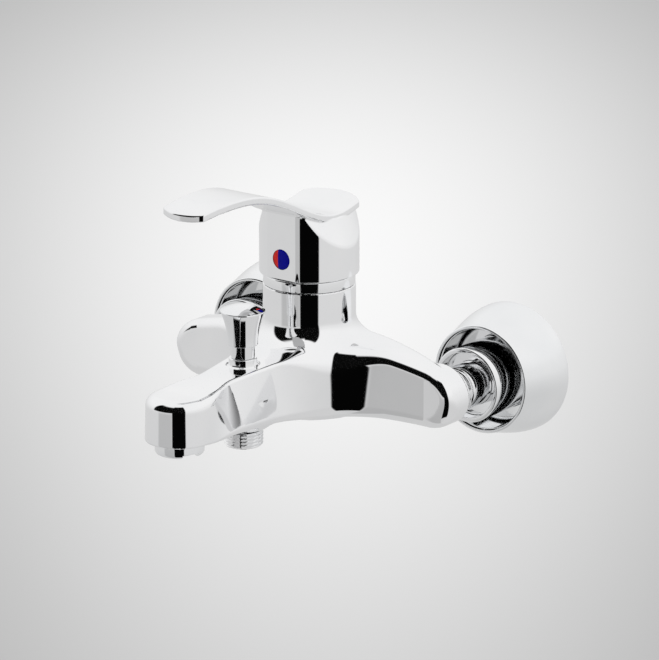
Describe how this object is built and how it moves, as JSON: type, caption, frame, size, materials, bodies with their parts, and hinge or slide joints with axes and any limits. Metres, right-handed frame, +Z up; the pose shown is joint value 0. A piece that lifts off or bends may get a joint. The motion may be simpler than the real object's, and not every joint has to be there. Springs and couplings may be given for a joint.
{
  "type": "bath and shower mixer tap",
  "caption": "Wall mounted bath mixer with a lifting and turning lever, a spout, a pull-up diverter knob and a threaded shower hose outlet.",
  "frame": {"origin": "on the finished wall, midway between the centres of the two wall inlets", "axes": "+Z up, +Y into the wall, +X along the wall to the right of a person facing it; the mixer stands at negative Y"},
  "size_m": [0.2206, 0.2239, 0.1513],
  "materials": {
    "body_chrome": "polished chromium plate on cast brass",
    "handle_chrome": "polished chromium plate on cast zinc",
    "trim_chrome": "polished chromium plate on turned brass",
    "flange_chrome": "polished chromium plate on pressed and turned brass",
    "brass": "plain turned brass",
    "steel": "plain stainless steel",
    "cartridge_plastic": "moulded white plastic",
    "carrier_plastic": "moulded grey plastic",
    "aerator_plastic": "moulded pale plastic",
    "ceramic": "lapped alumina ceramic",
    "rubber": "black nitrile rubber",
    "index_red": "glossy enamel",
    "index_blue": "glossy enamel"
  },
  "bodies": {
    "root": {"aerator_gasket": "rubber", "aerator_housing": "trim_chrome", "aerator_insert": "aerator_plastic", "cartridge_base": "cartridge_plastic", "cartridge_housing": "cartridge_plastic", "cartridge_nut": "brass", "ceramic_disc_fixed": "ceramic", "collar_ring": "trim_chrome", "disc_seals": "rubber", "diverter_bush": "trim_chrome", "diverter_gland_ring": "rubber", "diverter_spring": "steel", "hose_outlet": "trim_chrome", "left_eccentric_union": "trim_chrome", "left_flange": "flange_chrome", "left_flange_seal": "rubber", "left_inlet_gasket": "rubber", "left_tailpiece": "trim_chrome", "left_union_nut": "trim_chrome", "mixer_body": "body_chrome", "outlet_seal": "rubber", "port_seals": "rubber", "right_eccentric_union": "trim_chrome", "right_flange": "flange_chrome", "right_flange_seal": "rubber", "right_inlet_gasket": "rubber", "right_tailpiece": "trim_chrome", "right_union_nut": "trim_chrome"},
    "lever_rotor": {"spindle_guide": "carrier_plastic", "spindle_pivot_pin": "steel"},
    "lever": {"lever_spindle": "brass", "lever_handle": "handle_chrome", "handle_set_screw": "steel", "hot_index": "index_red", "cold_index": "index_blue"},
    "disc_slide": {"disc_carrier": "carrier_plastic", "ceramic_disc_moving": "ceramic"},
    "diverter": {"diverter_knob": "trim_chrome", "diverter_stem": "brass", "stem_clip": "steel", "diverter_valve": "brass", "diverter_washers": "rubber"}
  },
  "joints": [
    {"name": "lever_turn", "type": "hinge", "parent": "root", "child": "lever_rotor", "pos_m": [0, -0.082, 0.051], "axis": [0, 0, 1], "range_deg": [-50, 50]},
    {"name": "lever_lift", "type": "hinge", "parent": "lever_rotor", "child": "lever", "pos_m": [0, -0.082, 0.051], "axis": [-1, 0, 0], "range_deg": [0, 20]},
    {"name": "disc_travel", "type": "slide", "parent": "lever_rotor", "child": "disc_slide", "axis": [0, -1, 0], "range_m": [0, 0.00616]},
    {"name": "diverter_pull", "type": "slide", "parent": "root", "child": "diverter", "axis": [0, 0, 1], "range_m": [0, 0.0068], "stiffness_N_per_m": 150, "springref_m": -0.005, "deforming": ["diverter_spring"]}
  ],
  "couplings": [
    {"joint": "disc_travel", "follows": "lever_lift", "m_per_rad": 0.017637}
  ]
}
